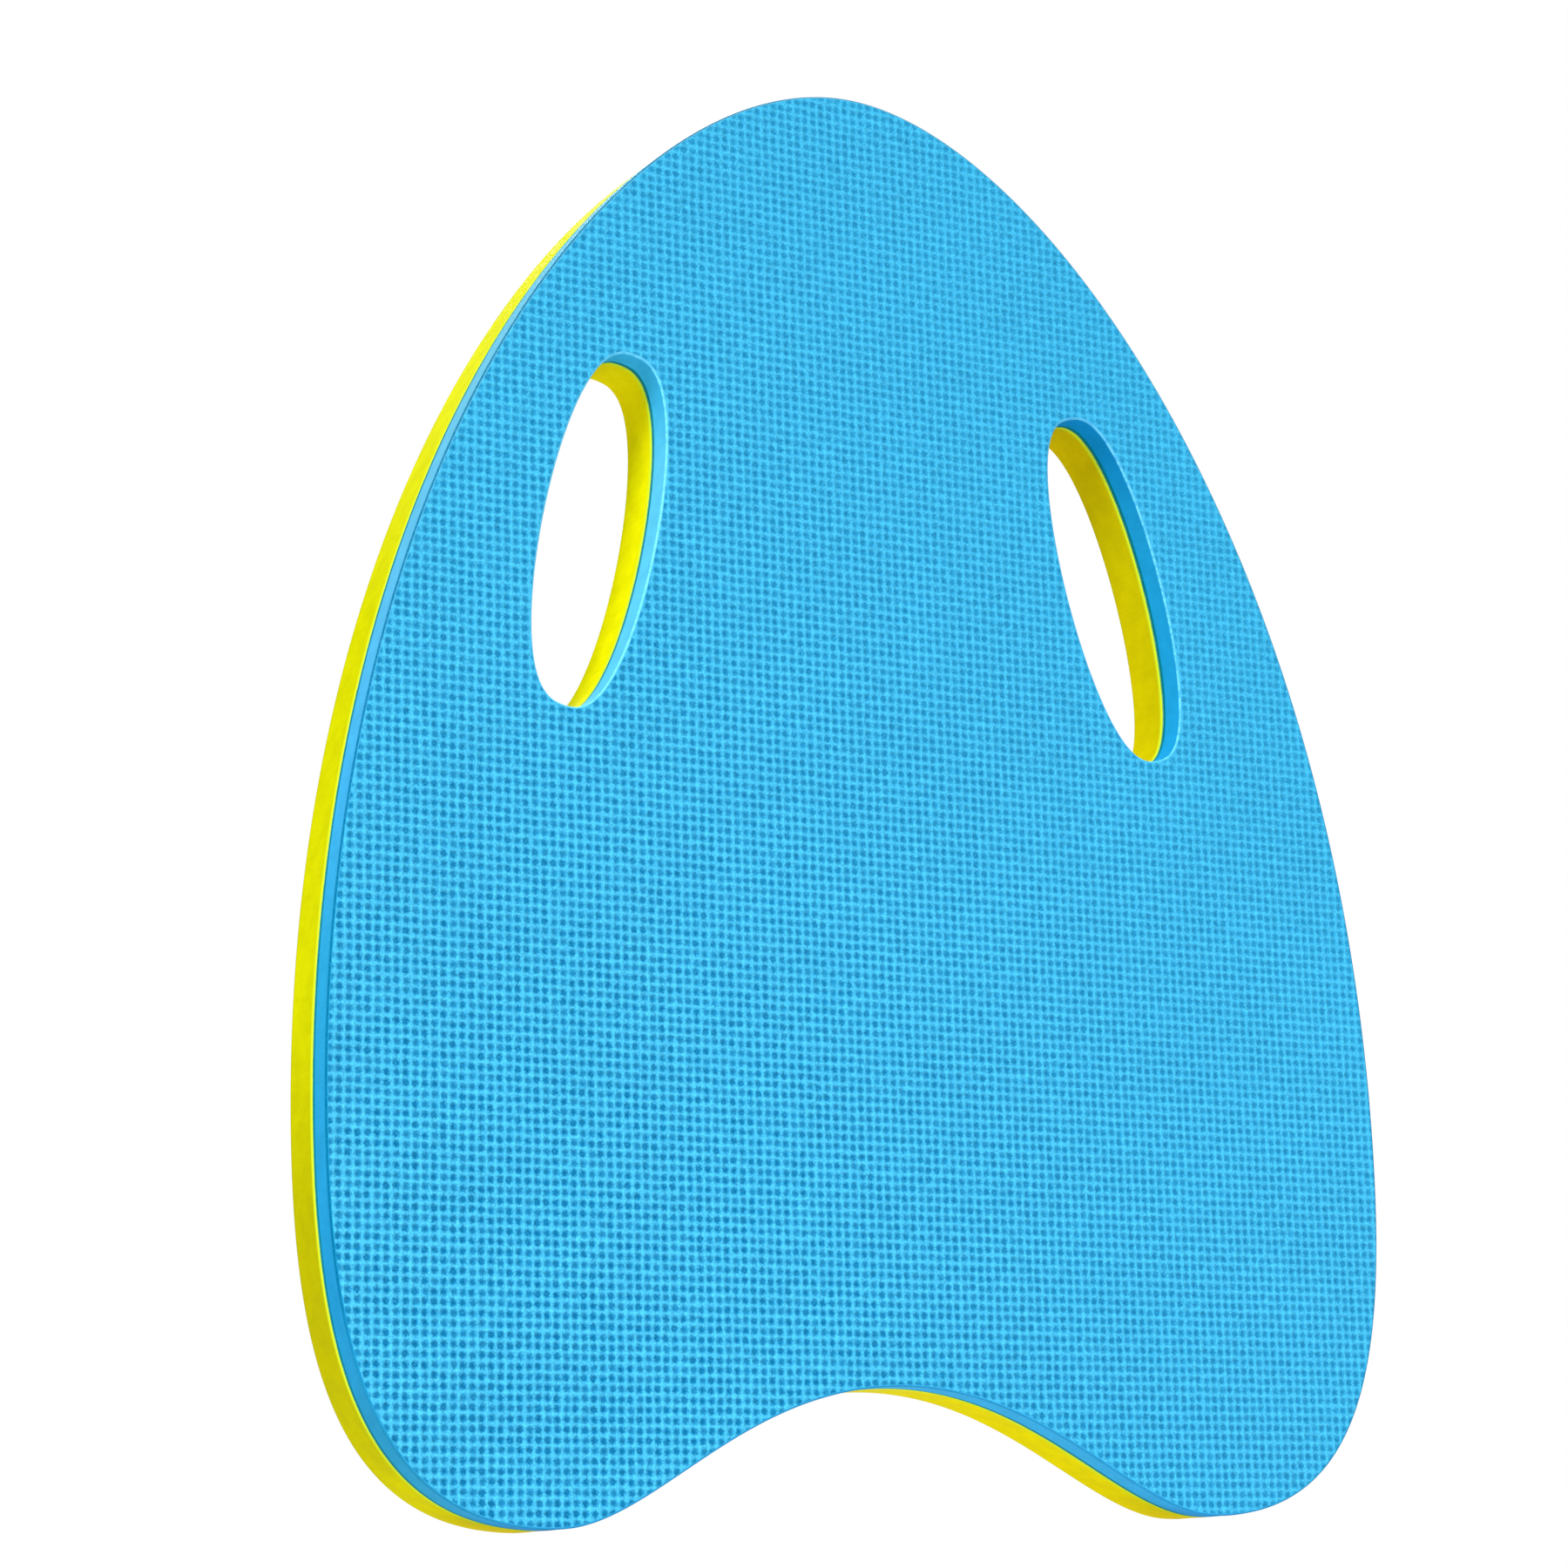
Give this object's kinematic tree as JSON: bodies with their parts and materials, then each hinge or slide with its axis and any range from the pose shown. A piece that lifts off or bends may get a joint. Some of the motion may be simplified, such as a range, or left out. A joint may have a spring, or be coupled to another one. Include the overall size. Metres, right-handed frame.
{
  "type": "kickboard float",
  "caption": "Closed-cell foam kickboard for swimming, with a rounded nose, a tail notch and through hand slots, made of bonded foam layers.",
  "frame": {"origin": "middle of the bounding box in X and Y, on the ground under the two tail lobes that the board stands on", "axes": "+Z from the tail to the nose, +Y from the blue deck through the board to the yellow back, +X to the right as the deck is looked at"},
  "size_m": [0.345, 0.025, 0.422],
  "materials": {
    "deck_foam": "sky blue closed-cell foam sheet with a fine embossed dimple grid, satin",
    "bond_adhesive": "clear set adhesive, yellowish where it squeezes out, satin",
    "base_foam": "lemon yellow closed-cell foam sheet with a fine embossed dimple grid on the back, satin"
  },
  "bodies": {
    "root": {"deck_layer": "deck_foam", "bond_film": "bond_adhesive", "base_layer": "base_foam"}
  },
  "joints": []
}
